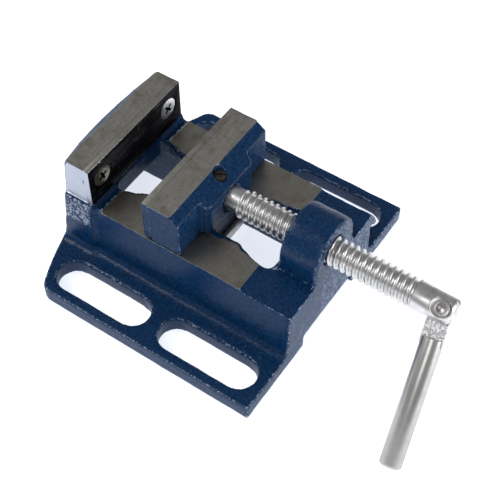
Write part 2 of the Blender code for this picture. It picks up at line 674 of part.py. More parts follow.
def spindle(frame):
    core = THREAD_RADIUS - THREAD_DEPTH - GAP
    groove = (RETAINER_X - GROOVE_WIDTH / 2, RETAINER_X + GROOVE_WIDTH / 2)
    profile = [(0, NOSE_TIP), (NOSE_RADIUS - GAP, NOSE_TIP), (NOSE_RADIUS, NOSE_TIP + GAP),
               (NOSE_RADIUS, groove[0]), (GROOVE_RADIUS, groove[0]), (GROOVE_RADIUS, groove[1]),
               (NOSE_RADIUS, groove[1]), (NOSE_RADIUS, THREAD_START + GAP),
               (core, THREAD_START + GAP), (core, THREAD_END - GAP),
               (HEAD_RADIUS, THREAD_END - GAP), (HEAD_RADIUS, HEAD_END - HEAD_CHAMFER),
               (HEAD_RADIUS - HEAD_CHAMFER, HEAD_END), (0, HEAD_END)]
    body = turned("spindle", list(reversed(profile)), axis="X")
    join(body, thread_rod())
    reach = HEAD_RADIUS + OVERRUN
    cut(body, box("fork_slot", (HEAD_END - FORK_DEPTH, -reach, -FORK_SLOT / 2),
                  (HEAD_END + OVERRUN, reach, FORK_SLOT / 2)))
    for side in (-1, 1):
        low, high = sorted((side * SPOT_FLAT, side * reach))
        cut(body, rod("spot_face", SPOT_RADIUS, low, high, (PIVOT_X, 0, 0), "Z", sides=SCREW_STEPS))
    cut(body, rod("pin_hole", PIN_RADIUS + GAP, -reach, reach, (PIVOT_X, 0, 0), "Z", sides=PIN_STEPS))
    body.parent = frame
    return finish(body, "spindle", STEEL)


def handle_pin(frame):
    """Riveted pin with a dimple in each head."""
    under = SPOT_FLAT + GAP
    top = under + PIN_HEAD_HEIGHT
    half = [(0, top - PIN_DIMPLE / 2), (PIN_DIMPLE, top), (PIN_HEAD_RADIUS - GAP, top),
            (PIN_HEAD_RADIUS, top - GAP), (PIN_HEAD_RADIUS, under), (PIN_RADIUS, under)]
    profile = half + [(r, -z) for r, z in reversed(half)]
    pin = turned("handle_pin", profile, steps=SCREW_STEPS)
    pin.parent = frame
    return finish(pin, "handle_pin", DARK_STEEL)


def handle_bar(frame):
    """Round bar whose first stretch is flattened into a tongue around the pin."""
    profile = [(0, -TONGUE_REACH), (HANDLE_RADIUS, -TONGUE_REACH),
               (HANDLE_RADIUS, -HANDLE_LENGTH + HANDLE_CHAMFER),
               (HANDLE_RADIUS - HANDLE_CHAMFER, -HANDLE_LENGTH), (0, -HANDLE_LENGTH)]
    bar = turned("handle_bar", profile)
    bar.data.transform(Matrix.Rotation(-math.pi / 2, 4, "X"))
    half = HANDLE_RADIUS
    points = [(half, -TONGUE_REACH - BURY)] + arc((0, 0), half, 0, 180, TONGUE_STEPS)
    points += [(-half, -TONGUE_REACH - BURY)]
    thick = FORK_SLOT / 2 - GAP
    join(bar, outline("tongue", points, -thick, thick, "Z"))
    cut(bar, rod("tongue_hole", PIN_RADIUS + GAP, -half, half, (0, 0, 0), "Z", sides=PIN_STEPS))
    bar.parent = frame
    return finish(bar, "handle_bar", ZINC)


def retaining_screw():
    """Headless screw from the jaw's top whose tip sits in the spindle's groove."""
    top = JAW_TOP - RETAINER_SUNK
    shoulder = top - RETAINER_BODY
    tip = SPINDLE_HEIGHT + GROOVE_RADIUS + GAP
    profile = [(0, top), (RETAINER_RADIUS, top), (RETAINER_RADIUS, shoulder),
               (RETAINER_TIP, shoulder - RETAINER_TIP / 2), (RETAINER_TIP, tip), (0, tip)]
    screw = turned("spindle_retaining_screw", profile, steps=PIN_STEPS,
                   centre=(RETAINER_X, 0, 0))
    half = RETAINER_SLOT / 2
    cut(screw, box("driver_slot", (RETAINER_X - RETAINER_RADIUS - OVERRUN, -half, top - RETAINER_SLOT),
                   (RETAINER_X + RETAINER_RADIUS + OVERRUN, half, top + OVERRUN)))
    return finish(screw, "spindle_retaining_screw", DARK_STEEL)


def build():
    base_casting()
    jaw_plate("fixed_jaw_plate", FIXED_FACE, -1, BLACK_STEEL)
    moving_jaw()
    jaw_plate("moving_jaw_plate", MOVING_FACE, 1, BLACK_STEEL)
    for side_name, y in (("near", -PLATE_SCREW_SPACING / 2), ("far", PLATE_SCREW_SPACING / 2)):
        plate_screw("fixed_jaw_screw_" + side_name, FIXED_FACE, -1, y)
        plate_screw("moving_jaw_screw_" + side_name, MOVING_FACE, 1, y)
    keeper_plate()
    for place_name, x in zip(("back", "front"), keeper_screw_places()):
        keeper_washer("keeper_washer_" + place_name, x)
        keeper_screw("keeper_screw_" + place_name, x)
    spindle_axis = spindle_frame()
    spindle(spindle_axis)
    handle_axis = handle_frame(spindle_axis)
    handle_pin(handle_axis)
    handle_bar(handle_axis)
    retaining_screw()


build()
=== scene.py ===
# %% [markdown]
# # A small drill-press vise
#
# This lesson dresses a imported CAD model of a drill-press vise. The CAD gives every piece its
# size and its joints. Here each piece gets the surface that the workshop gave it: sand-cast
# iron under blue enamel, ground ways, turned and zinc-plated steel.

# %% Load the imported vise
import json
import math

import bmesh
import bpy
from mathutils import Matrix, Vector, noise


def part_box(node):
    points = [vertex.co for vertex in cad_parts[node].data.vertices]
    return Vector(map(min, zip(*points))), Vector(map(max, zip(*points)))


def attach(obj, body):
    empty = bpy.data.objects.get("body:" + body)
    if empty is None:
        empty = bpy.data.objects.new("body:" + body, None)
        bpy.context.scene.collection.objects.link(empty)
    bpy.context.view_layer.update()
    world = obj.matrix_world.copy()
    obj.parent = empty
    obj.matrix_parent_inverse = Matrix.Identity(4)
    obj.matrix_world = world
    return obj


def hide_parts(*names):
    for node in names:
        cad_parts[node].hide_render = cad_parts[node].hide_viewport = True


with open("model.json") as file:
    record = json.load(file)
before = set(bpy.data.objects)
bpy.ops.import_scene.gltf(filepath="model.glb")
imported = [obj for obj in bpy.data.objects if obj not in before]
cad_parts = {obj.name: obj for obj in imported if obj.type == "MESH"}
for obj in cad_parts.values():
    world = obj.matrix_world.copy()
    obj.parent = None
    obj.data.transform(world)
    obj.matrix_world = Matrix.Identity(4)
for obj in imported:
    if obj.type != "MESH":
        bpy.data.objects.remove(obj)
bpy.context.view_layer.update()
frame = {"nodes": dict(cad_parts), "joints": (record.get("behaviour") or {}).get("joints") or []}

MM = 0.001

# %% [markdown]
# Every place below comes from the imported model, so nothing has to be fitted by eye. X runs
# along the spindle, Y across the jaws and Z up. The hinges give the spindle's axis and the
# line of the handle's pin.

# %% Read the key places
moving_plate_low, moving_plate_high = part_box("moving_jaw_plate")
spindle_low, spindle_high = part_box("spindle")

joints = {joint["name"]: joint for joint in frame["joints"]}
axis_height = joints["spindle_turn"]["pos_m"][2]
pin_place = Vector(joints["handle_fold"]["pos_m"])
pin_line = Vector(joints["handle_fold"]["axis"]).normalized()

FIXED_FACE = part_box("fixed_jaw_plate")[1].x
MOVING_FACE = moving_plate_low.x
HALF_JAW = moving_plate_high.y
JAW_TOP = moving_plate_high.z
PLATE_FOOT = moving_plate_low.z
JAW_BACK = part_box("moving_jaw")[1].x
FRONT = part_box("base_casting")[1].x
WAY_TOP = 36.7 * MM
JAW_FLOOR = 37.0 * MM
print("jaw opening in mm:", round((MOVING_FACE - FIXED_FACE) / MM, 2))

# %% [markdown]
# ## Floor, light and camera
#
# A product picture needs a pale floor and soft light. A big plane lies under the vise, a dim
# world fills in the shadows, and three soft boxes give the enamel and the steel their glints.
# The lamp on the right stands low, so that it reaches the front faces. The Standard view
# transform keeps white paper white.

# %% Floor
FLOOR_SIZE = 6.0
bm = bmesh.new()
bmesh.ops.create_grid(bm, x_segments=1, y_segments=1, size=FLOOR_SIZE / 2)
floor_mesh = bpy.data.meshes.new("floor")
bm.to_mesh(floor_mesh)
bm.free()
floor = bpy.data.objects.new("floor", floor_mesh)
bpy.context.scene.collection.objects.link(floor)
print("floor side in m:", FLOOR_SIZE)

# %% Lamps, world and camera
SOFT_BOX = 0.5      # side of a lamp in metres


def area_lamp(name, place, size, watts):
    """A square soft box that faces the vise."""
    lamp = bpy.data.lights.new(name, "AREA")
    lamp.size = size
    lamp.energy = watts
    thing = bpy.data.objects.new(name, lamp)
    thing.location = place
    thing.rotation_euler = (-Vector(place)).to_track_quat("-Z", "Y").to_euler()
    bpy.context.scene.collection.objects.link(thing)
    return thing


area_lamp("left_soft_box", (-1.0, -0.5, 1.1), SOFT_BOX, 9)
area_lamp("right_soft_box", (1.4, 0.3, 0.42), SOFT_BOX, 10)
area_lamp("front_soft_box", (0.3, -1.2, 1.3), SOFT_BOX, 4)

world = bpy.data.worlds.new("studio")
world.use_nodes = True
sky = world.node_tree.nodes["Background"].inputs
sky["Color"].default_value = (0.96, 0.96, 1.0, 1)
sky["Strength"].default_value = 0.32
bpy.context.scene.world = world
bpy.context.scene.view_settings.view_transform = "Standard"

lens = bpy.data.cameras.new("camera")
lens.lens = 82.9
lens.sensor_width = 36
camera = bpy.data.objects.new("camera", lens)
camera.location = (0.15918, -0.25353, 0.42598)
camera.rotation_euler = (math.radians(36.68), 0, math.radians(34))
bpy.context.scene.collection.objects.link(camera)
bpy.context.scene.camera = camera
print("camera distance in m:", round(camera.location.length, 3))

# %% [markdown]
# ## Tools for materials
#
# A procedural material is a small network of nodes. Writing one node at a time in Python is
# long-winded, so a helper adds a node, sets its inputs and makes its links in one call. Every
# pattern reads Object coordinates, which are metres here, so a scale of 1000 means a pattern
# about one millimetre wide, whatever piece it is on.

# %% A helper that adds a node
def add_node(material, kind, settings=None, **inputs):
    """Adds a node. An input given as another node's socket is linked, any other is set."""
    node = material.node_tree.nodes.new("ShaderNode" + kind)
    for key, value in (settings or {}).items():
        setattr(node, key, value)
    for key, value in inputs.items():
        socket = node.inputs[key.replace("_", " ")]
        if isinstance(value, bpy.types.NodeSocket):
            material.node_tree.links.new(value, socket)
        else:
            socket.default_value = value
    return node


def new_material(name, **inputs):
    """A material whose Principled shader has these inputs set."""
    material = bpy.data.materials.new(name)
    material.use_nodes = True
    surface(material, **inputs)
    return material


def surface(material, **inputs):
    """Sets or links inputs of a material's Principled shader."""
    shader = material.node_tree.nodes["Principled BSDF"]
    for key, value in inputs.items():
        socket = shader.inputs[key.replace("_", " ")]
        if isinstance(value, bpy.types.NodeSocket):
            material.node_tree.links.new(value, socket)
        else:
            socket.default_value = value


print("node helper ready")

# %% Helpers for patterns
def grain(material, scale, detail=3.0, rough=0.55, turn=(0, 0, 0)):
    """Noise on Object coordinates. A scale of three numbers stretches it."""
    scale = (scale, scale, scale) if isinstance(scale, (int, float)) else scale
    place = add_node(material, "TexCoord").outputs["Object"]
    place = add_node(material, "Mapping", Vector=place, Scale=scale, Rotation=turn).outputs[0]
    return add_node(material, "TexNoise", Vector=place, Scale=1.0, Detail=detail,
                    Roughness=rough).outputs[0]


def between(material, value, low, high, to_low=0.0, to_high=1.0):
    """Maps a value from one range to another and stops at the ends."""
    return add_node(material, "MapRange", Value=value, From_Min=low, From_Max=high,
                    To_Min=to_low, To_Max=to_high).outputs[0]


print("noise and range helpers ready")


# %% Helpers that combine values and colours
def times(material, a, b):
    """The product of two values."""
    node = add_node(material, "Math", {"operation": "MULTIPLY"})
    for socket, value in zip(node.inputs, (a, b)):
        if isinstance(value, bpy.types.NodeSocket):
            material.node_tree.links.new(value, socket)
        else:
            socket.default_value = value
    return node.outputs[0]


def mixed(material, share, a, b):
    """Colour a where share is 0, and colour b where it is 1."""
    node = add_node(material, "Mix", {"data_type": "RGBA"})
    for socket, value in zip((node.inputs[0], node.inputs[6], node.inputs[7]), (share, a, b)):
        if isinstance(value, bpy.types.NodeSocket):
            material.node_tree.links.new(value, socket)
        else:
            socket.default_value = value if isinstance(value, (int, float)) else (*value, 1)
    return node.outputs[2]


print("mixing helpers ready")


# %% Helpers for relief and stored values
def bumped(material, height, distance, under=None):
    """A normal that follows a height pattern; distance is the relief in metres."""
    node = add_node(material, "Bump", Height=height, Distance=distance, Strength=1.0)
    if under is not None:
        material.node_tree.links.new(under, node.inputs["Normal"])
    return node.outputs[0]


def attribute(material, name):
    """A value that was stored on the mesh's points."""
    return add_node(material, "Attribute", {"attribute_name": name}).outputs["Fac"]


print("relief helpers ready")

# %% [markdown]
# The floor is matt white board. A little light of its own keeps the paper white right up to
# the vise, as in a product picture, and it shines up on the vise's sides.

# %% Floor material
board = new_material("white_board", Roughness=0.9, Emission_Strength=0.8)
shade = grain(board, 30, 2.0)
surface(board, Base_Color=mixed(board, shade, (0.90, 0.90, 0.91), (0.93, 0.93, 0.93)),
        Emission_Color=(0.88, 0.92, 1.0, 1))
floor.data.materials.append(board)
print("floor material:", board.name)

# %% [markdown]
# ## Blue enamel over cast iron
#
# The base and the sliding jaw are sand castings, dipped in dark blue enamel. The enamel is
# glossy, but it follows the grain of the sand mould below it, so it glitters wherever light
# grazes it. The tops of the ways and jaws were ground after painting, which bared the iron.
# One material does both. It reads two values from the mesh: `bare`, above zero where grinding took
# the paint away, and `edge`, which is high on outward corners and on faces that catch the floor's
# reflection. Where `edge` is high, pale specks are painted into the colour as highlights, and
# sparser lighter specks are painted over every face, so most of the glitter is painted light.

# %% Enamel material
enamel = new_material("enamelled_casting", Coat_Roughness=0.12, Coat_IOR=1.48,
                      Specular_IOR_Level=0.0)
bare = between(enamel, attribute(enamel, "bare"), -0.08, 0.08)
patches = grain(enamel, 700, 5.0, 0.75)
paint = mixed(enamel, between(enamel, patches, 0.40, 0.62), (0.001, 0.018, 0.062),
              (0.007, 0.041, 0.116))
# Painted highlights: pale specks where the edge value is high, and sparser lighter blue specks over
# all faces, stand in for the enamel's glints.
specks = grain(enamel, 850, 3.0, 0.7)
painted_glints = times(enamel, between(enamel, attribute(enamel, "edge"), 0.06, 0.13),
             between(enamel, specks, 0.51, 0.58))
paint = mixed(enamel, painted_glints, paint, (0.42, 0.50, 0.62))
paint = mixed(enamel, between(enamel, specks, 0.62, 0.72), paint, (0.045, 0.09, 0.17))
streaks = grain(enamel, (2600, 90, 300), 4.0, 0.6)
clouds = grain(enamel, 160, 4.0, 0.6)
print("enamel colours ready")

# %% [markdown]
# The ground iron is streaked along the grinder's path and clouded with brown. The ways lie lower
# than the jaw tops and are painted darker as painted shade, so the height decides how dark the iron
# is. The jaw's ends were milled, not ground, and are bare; their pale bluish colour is partly
# painted reflection of the white floor.

# %% Ground iron
iron = mixed(enamel, between(enamel, streaks, 0.3, 0.7), (0.34, 0.325, 0.28),
             (0.50, 0.485, 0.44))
iron = mixed(enamel, between(enamel, clouds, 0.48, 0.72, 0.0, 0.75), iron, (0.25, 0.225, 0.175))
iron = mixed(enamel, between(enamel, specks, 0.56, 0.66, 0.0, 0.5), iron, (0.14, 0.125, 0.10))
height = add_node(enamel, "SeparateXYZ", Vector=add_node(enamel, "TexCoord").outputs["Object"])
# Painted shade: the iron is darker low down, on the ways, than on the jaw tops.
ways_painted_shade = between(enamel, height.outputs[2], 38 * MM, 44 * MM, 0.45, 0.0)
iron = mixed(enamel, ways_painted_shade, iron, (0.19, 0.175, 0.145))
across = add_node(enamel, "Math", {"operation": "ABSOLUTE"})
enamel.node_tree.links.new(height.outputs[1], across.inputs[0])
# Bare milled ends, coloured pale bluish: partly their own metal, partly painted reflection of the
# floor.
at_end = between(enamel, across.outputs[0], HALF_JAW - 0.4 * MM, HALF_JAW - 0.2 * MM)
milled_end_sheen = times(enamel, at_end,
               between(enamel, height.outputs[2], 38 * MM, 38.5 * MM, 0.0, 0.75))
iron = mixed(enamel, milled_end_sheen, iron, (0.40, 0.45, 0.56))
print("ground iron ready")

# %% Relief of the enamel and of the ground iron
sand = grain(enamel, 1500, 3.0, 0.65)
lumps = grain(enamel, 330, 2.0, 0.5)
painted_relief = bumped(enamel, lumps, 0.10 * MM, bumped(enamel, sand, 0.14 * MM))
ground_relief = bumped(enamel, streaks, 0.012 * MM)
relief = add_node(enamel, "Mix", {"data_type": "VECTOR"})
for socket, value in zip((relief.inputs[0], relief.inputs[4], relief.inputs[5]),
                         (bare, painted_relief, ground_relief)):
    enamel.node_tree.links.new(value, socket)
surface(enamel, Base_Color=mixed(enamel, bare, paint, iron), Metallic=bare,
        Roughness=between(enamel, bare, 0, 1, 0.42, 0.38),
        Coat_Weight=between(enamel, bare, 0, 1, 0.45, 0.0), Normal=relief.outputs[1],
        Coat_Normal=relief.outputs[1])
print("enamel relief ready")

# %% [markdown]
# ## Tools for shapes
#
# Each piece starts as a bmesh. `piece()` turns a finished bmesh into an object that stays at
# the origin, with its place in its mesh, and rides on a body of the CAD.

# %% Make an object from a bmesh
def piece(name, bm, body, *materials, smooth=math.radians(40)):
    """A shaded object that rides on a CAD body."""
    mesh = bpy.data.meshes.new(name)
    bm.to_mesh(mesh)
    bm.free()
    for material in materials:
        mesh.materials.append(material)
    mesh.shade_smooth()
    if smooth:
        mesh.set_sharp_from_angle(angle=smooth)
    thing = bpy.data.objects.new(name, mesh)
    bpy.context.scene.collection.objects.link(thing)
    if body:
        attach(thing, body)
    return thing


def settled(thing):
    """The mesh that an object's modifiers give, as a new bmesh; the object is removed."""
    bpy.context.view_layer.update()
    mesh = bpy.data.meshes.new_from_object(
        thing.evaluated_get(bpy.context.evaluated_depsgraph_get()))
    bm = bmesh.new()
    bm.from_mesh(mesh)
    bpy.data.objects.remove(thing)
    bpy.data.meshes.remove(mesh)
    return bm


print("object helpers ready")


# %% Copy a CAD node, or add a block
def cad_copy(node):
    """A bmesh copy of a CAD node, its loose triangles merged."""
    bm = bmesh.new()
    bm.from_mesh(frame["nodes"][node].data)
    bmesh.ops.remove_doubles(bm, verts=bm.verts, dist=0.001 * MM)
    return bm


def add_block(bm, low, high):
    """Adds a closed box between two corners."""
    low, high = Vector(low), Vector(high)
    made = bmesh.ops.create_cube(bm, size=1)["verts"]
    bmesh.ops.scale(bm, vec=high - low, verts=made)
    bmesh.ops.translate(bm, vec=(low + high) / 2, verts=made)
    return made


print("shape helpers ready")

# %% [markdown]
# ## From CAD solid to casting
#
# A casting has no sharp corners. A voxel remesh turns the CAD solid, with some lumps added
# that stand for grinding stock, into an even skin of small quads. Smoothing that skin rounds
# every corner, inside and out, and a gentle noise gives it the waviness of a sand mould.
# Grinding comes last, as in the workshop: points above the grinding plane are pushed down to
# it, and `bare` records how far each point stood above it, so that the edge of the paint
# falls exactly where the plane cuts the casting.

# %% Cast a solid
def cast(bm, voxel, rounds):
    """Remeshes overlapping closed solids into one skin and rounds its corners."""
    thing = piece("raw_casting", bm, None)
    step = thing.modifiers.new("skin", "REMESH")
    step.mode = "VOXEL"
    step.voxel_size = voxel
    skin = settled(thing)
    for _ in range(rounds):
        bmesh.ops.smooth_vert(skin, verts=skin.verts, factor=0.5, use_axis_x=True,
                              use_axis_y=True, use_axis_z=True)
    return skin


def ripple(bm, height, width, keep_out=None):
    """Moves points in and out along their normals in soft waves."""
    bm.normal_update()
    moves = [(v, v.normal * (height * noise.noise(v.co / width))) for v in bm.verts
             if keep_out is None or not keep_out(v.co)]
    for v, move in moves:
        v.co += move


print("casting helpers ready")


# %% Grind, and mark where painted highlight specks go
def grind(bm, layer, axis, height, inside, stock=0.4 * MM):
    """Flattens the points of a region that stand beyond a plane across an axis."""
    sign = 1 if height > 0 else -1
    for v in bm.verts:
        if inside(v.co):
            proud = sign * (v.co[axis] - height)
            v[layer] = max(v[layer], min(proud / stock, 1.0))
            if proud > 0:
                v.co[axis] = height


def mark_edges(bm, layer, voxel):
    """Stores how far each point stands proud of its neighbours, in voxels."""
    bm.normal_update()
    for v in bm.verts:
        middle = sum((e.other_vert(v).co for e in v.link_edges), Vector()) / len(v.link_edges)
        v[layer] = max(0.0, (v.co - middle).dot(v.normal) / voxel)


def mark_glint_faces(bm, layer, value, inside):
    """Gives points of a region at least this edge value, so that painted highlight specks show
    there.
    """
    for v in bm.verts:
        if inside(v.co, v.normal):
            v[layer] = max(v[layer], value)


print("grinding helpers ready")

# %% [markdown]
# ## The base casting
#
# The base is one casting: two slotted flanges, two rails with the guide slot between them, the
# fixed jaw at the back and the boss for the spindle at the front. Stock for grinding is added
# on the ways and on the fixed jaw, and a cast ear hangs on the far rail's front corner.

# %% Raw base with grinding stock
STOCK = 1.1 * MM
WAYS_BACK = FIXED_FACE + 4.3 * MM
WAYS_FRONT = FRONT - 25.5 * MM
JAW_BACK_EDGE = FIXED_FACE - 12.0 * MM
JAW_LEDGE = 38.0 * MM
SEAT = 3.05 * MM
BURY = 2 * MM

raw = cad_copy("base_casting")
for side in (-1, 1):
    inner, outer = sorted((side * 17.5 * MM, side * (HALF_JAW - 0.02 * MM)))
    add_block(raw, (WAYS_BACK, inner, WAY_TOP - BURY), (WAYS_FRONT, outer, WAY_TOP + STOCK))
add_block(raw, (JAW_BACK_EDGE, -HALF_JAW, JAW_TOP - BURY),
          (FIXED_FACE - 3.3 * MM, HALF_JAW, JAW_TOP + STOCK))
add_block(raw, (FIXED_FACE - 5 * MM, -HALF_JAW, PLATE_FOOT + 0.5 * MM),
          (FIXED_FACE - 1.7 * MM, HALF_JAW, JAW_TOP + STOCK))
print("raw base points:", len(raw.verts))

# %% The cast ear on the far rail
ear_section = [(31.0, 36.4), (32.2, 36.6), (36.8, 30.0), (39.4, 23.8), (36.6, 24.4), (31.0, 30.0)]
ear = [raw.verts.new((FRONT - 5.2 * MM, y * MM, z * MM)) for y, z in ear_section]
ear_face = raw.faces.new(ear)
grown = bmesh.ops.extrude_face_region(raw, geom=[ear_face])["geom"]
bmesh.ops.translate(raw, vec=(5.0 * MM, 0, 0),
                    verts=[g for g in grown if isinstance(g, bmesh.types.BMVert)])
bmesh.ops.recalc_face_normals(raw, faces=list({f for v in ear for f in v.link_faces} | {
    f for g in grown if isinstance(g, bmesh.types.BMVert) for f in g.link_faces}))
print("ear width in mm:", round(ear_section[3][0] - ear_section[0][0], 1))

# %% Cast the base
BASE_VOXEL = 0.85 * MM
BOSS_FOOT = 37.5 * MM
BOSS_START = FRONT - 22.4 * MM
base = cast(raw, BASE_VOXEL, 4)
boss_points = [v for v in base.verts if v.co.z > BOSS_FOOT and v.co.x > BOSS_START]
for _ in range(6):
    bmesh.ops.smooth_vert(base, verts=boss_points, factor=0.5, use_axis_x=True,
                          use_axis_y=True, use_axis_z=True)
ripple(base, 0.16 * MM, 9 * MM)
ripple(base, 0.07 * MM, 3 * MM)
print("base skin points:", len(base.verts))

# %% [markdown]
# The edge of the guide slot was never machined, so it wanders as the sand did. Beside the boss
# the casting is left a little lower than the ways, so that the grinder passes over it.

# %% Waves along the guide slot, and the low pads beside the boss
SLOT_WAVE = 1.1 * MM
SLOT_WAVE_LENGTH = 5 * MM
PAD_DROP = 1.0 * MM
PAD_RAMP = 1.5 * MM
PAD_GRAIN = 0.25 * MM
BOSS_MIDDLE = 1.2 * MM
BOSS_REACH = 16.2 * MM
for v in base.verts:
    x, y, z = v.co
    if abs(y) < 18 * MM and z > 25 * MM and FIXED_FACE < x < FRONT - 19 * MM:
        wave = noise.noise(Vector((x, 0, math.copysign(9 * MM, y))) / SLOT_WAVE_LENGTH)
        v.co.y += math.copysign(max(0.0, wave) * SLOT_WAVE, y)
    if x > WAYS_FRONT and abs(y - BOSS_MIDDLE) > BOSS_REACH and 34 * MM < z < 37.4 * MM:
        lip = noise.noise(v.co / (4 * MM)) * PAD_GRAIN
        v.co.z = min(z, WAY_TOP - PAD_DROP * min(1.0, (x - WAYS_FRONT) / PAD_RAMP) + lip)
print("guide slot waved by up to mm:", round(SLOT_WAVE / MM, 1))

# %% [markdown]
# Now the machining: the ways, the jaw's top and the jaw's two ends are flattened, and the seat for
# the plate is milled flat. The faces that catch the floor's reflection get pale specks painted on
# as highlights.

# %% Grind the base
bare_layer = base.verts.layers.float.new("bare")
edge_layer = base.verts.layers.float.new("edge")
for v in base.verts:
    v[bare_layer] = -1.0
    v.co.z = max(v.co.z, 0.0)
    if v.co.z > PLATE_FOOT + 0.2 * MM and v.co.x < FIXED_FACE:
        v.co.x = min(v.co.x, FIXED_FACE - SEAT)
grind(base, bare_layer, 2, WAY_TOP,
      lambda p: WAYS_BACK < p.x < WAYS_FRONT and 30 * MM < p.z < 40 * MM)
grind(base, bare_layer, 2, JAW_TOP,
      lambda p: p.x < FIXED_FACE and p.z > 55 * MM)
MILLED_END = HALF_JAW - 0.15 * MM
for side in (-1, 1):
    grind(base, bare_layer, 1, side * MILLED_END,
          lambda p: p.x < FIXED_FACE and side * p.y > 30 * MM
          and p.z > JAW_LEDGE + 0.6 * MM, stock=0.1 * MM)
mark_edges(base, edge_layer, BASE_VOXEL)
FACING = 0.7
NEAR_FRONT = FRONT - 8 * MM
# Painted highlights: the fixed jaw's lower near end and the front faces, which reflect the bright
# floor, get pale specks.
mark_glint_faces(base, edge_layer, 0.12, lambda p, n: p.x < FIXED_FACE - 1 * MM and n.y < -FACING
     and 24 * MM < p.z < JAW_LEDGE)
mark_glint_faces(base, edge_layer, 0.085, lambda p, n: n.x > FACING and p.y > -8 * MM and p.x > NEAR_FRONT)
mark_glint_faces(base, edge_layer, 0.068, lambda p, n: n.x > FACING and p.x > NEAR_FRONT)
casting = piece("vise_base", base, "base", enamel)
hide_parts("base_casting")
print("base triangles:", sum(len(p.vertices) - 2 for p in casting.data.polygons))

# %% [markdown]
# ## The sliding jaw
#
# The sliding jaw is a smaller casting from the same foundry: a block with a boss behind it
# for the spindle's nose and a tongue below that runs in the guide slot. It is cast with a
# finer skin, because its edges are crisper, and only its top is ground.

# %% Cast and grind the sliding jaw
JAW_VOXEL = 0.55 * MM
raw = cad_copy("moving_jaw")
add_block(raw, (MOVING_FACE + 3.3 * MM, -HALF_JAW, JAW_TOP - BURY),
          (MOVING_FACE + 13.8 * MM, HALF_JAW, JAW_TOP + STOCK))
add_block(raw, (MOVING_FACE + 1.9 * MM, -HALF_JAW, PLATE_FOOT + 0.5 * MM),
          (MOVING_FACE + 5 * MM, HALF_JAW, JAW_TOP + STOCK))
jaw = cast(raw, JAW_VOXEL, 6)
ripple(jaw, 0.12 * MM, 8 * MM, keep_out=lambda p: p.z < JAW_FLOOR + 0.5 * MM)
ripple(jaw, 0.05 * MM, 2.5 * MM, keep_out=lambda p: p.z < JAW_FLOOR + 0.5 * MM)
bare_layer = jaw.verts.layers.float.new("bare")
edge_layer = jaw.verts.layers.float.new("edge")
for v in jaw.verts:
    v[bare_layer] = -1.0
grind(jaw, bare_layer, 2, JAW_TOP, lambda p: p.z > 55 * MM)
for v in jaw.verts:
    if v.co.z > PLATE_FOOT + 0.2 * MM:
        v.co.x = max(v.co.x, MOVING_FACE + SEAT)
mark_edges(jaw, edge_layer, JAW_VOXEL)
sliding_jaw = piece("sliding_jaw", jaw, "slide", enamel)
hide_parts("moving_jaw")
print("jaw triangles:", sum(len(p.vertices) - 2 for p in sliding_jaw.data.polygons))

# %% [markdown]
# ## Jaw plates
#
# The plates are hardened steel with a black oxide skin. They were bolted on before the jaws
# were ground, so their top edges are bare and level with the jaws. The fixed plate's ends were
# milled with the jaw's ends, and the moving plate's ends are painted over. Work that was
# clamped between them has left fine bright scratches. A copy of the CAD plate keeps the
# countersinks, and a small bevel takes the sharpness off its edges.

# %% Black oxide
black = new_material("black_oxide_and_recess_shade", Specular_IOR_Level=0.04)
lines = grain(black, (60, 45, 2400), 2.0, 0.4, (0.18, 0, 0))
lines_across = grain(black, (60, 1900, 70), 2.0, 0.4, (0.35, 0, 0))
fields = grain(black, 140, 2.0)
scratches = times(black, between(black, lines, 0.63, 0.70), between(black, fields, 0.45, 0.6))
scratches_across = times(black, between(black, lines_across, 0.66, 0.72),
                         between(black, fields, 0.5, 0.62))
skin = mixed(black, fields, (0.002, 0.002, 0.003), (0.005, 0.005, 0.007))
skin = mixed(black, times(black, scratches, 0.6), skin, (0.16, 0.16, 0.17))
skin = mixed(black, times(black, scratches_across, 0.6), skin, (0.12, 0.12, 0.13))
surface(black, Base_Color=skin, Roughness=between(black, fields, 0.3, 0.7, 0.45, 0.6),
        Normal=bumped(black, lines, 0.02 * MM))
print("black oxide ready")

# %% Bevel the edges of a CAD copy
def eased(bm, width, angle=math.radians(50), segments=2):
    """Rounds off the sharp edges of a bmesh."""
    bmesh.ops.dissolve_limit(bm, angle_limit=math.radians(0.5), verts=bm.verts, edges=bm.edges)
    sharp = [e for e in bm.edges if e.is_manifold and e.calc_face_angle(0) > angle]
    bmesh.ops.bevel(bm, geom=sharp, offset=width, offset_type="OFFSET", affect="EDGES",
                    segments=segments, profile=0.5, material=-1, clamp_overlap=True)
    return bm


print("bevel helper ready")

# %% Plates with ground tops
PLATE_BEVEL = 0.12 * MM


def jaw_plate(node, body, end_bare):
    """A plate whose top is ground iron and whose ends look like the casting's end."""
    bm = eased(cad_copy(node), PLATE_BEVEL)
    bare_layer = bm.verts.layers.float.new("bare")
    # Bare ends take the milled ends' pale bluish colour, which is partly painted reflection of the
    # floor.
    for v in bm.verts:
        at_end = abs(v.co.y) > HALF_JAW - 0.13 * MM and v.co.z < JAW_TOP - 0.02 * MM
        v[bare_layer] = end_bare if at_end else 1.0
    for f in bm.faces:
        place = f.calc_center_median()
        f.material_index = int(place.z > JAW_TOP - 0.13 * MM
                               or abs(place.y) > HALF_JAW - 0.1 * MM)
    return piece(node.replace("_jaw_plate", "_gripping_plate"), bm, body, black, enamel)


for body, name, end_bare in (("base", "fixed_jaw_plate", 1.0), ("slide", "moving_jaw_plate", -1.0)):
    plate = jaw_plate(name, body, end_bare)
    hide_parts(name)
    print(plate.name, "faces:", len(plate.data.polygons))

# %% [markdown]
# ## Cross-head screws
#
# Each plate is held by two countersunk screws with a cross recess. A screw is a turned piece:
# a half profile spun about its axis. The recess of a real one is pressed by a tapered cross,
# so two bars that narrow as they go down are cut away, one after the other.

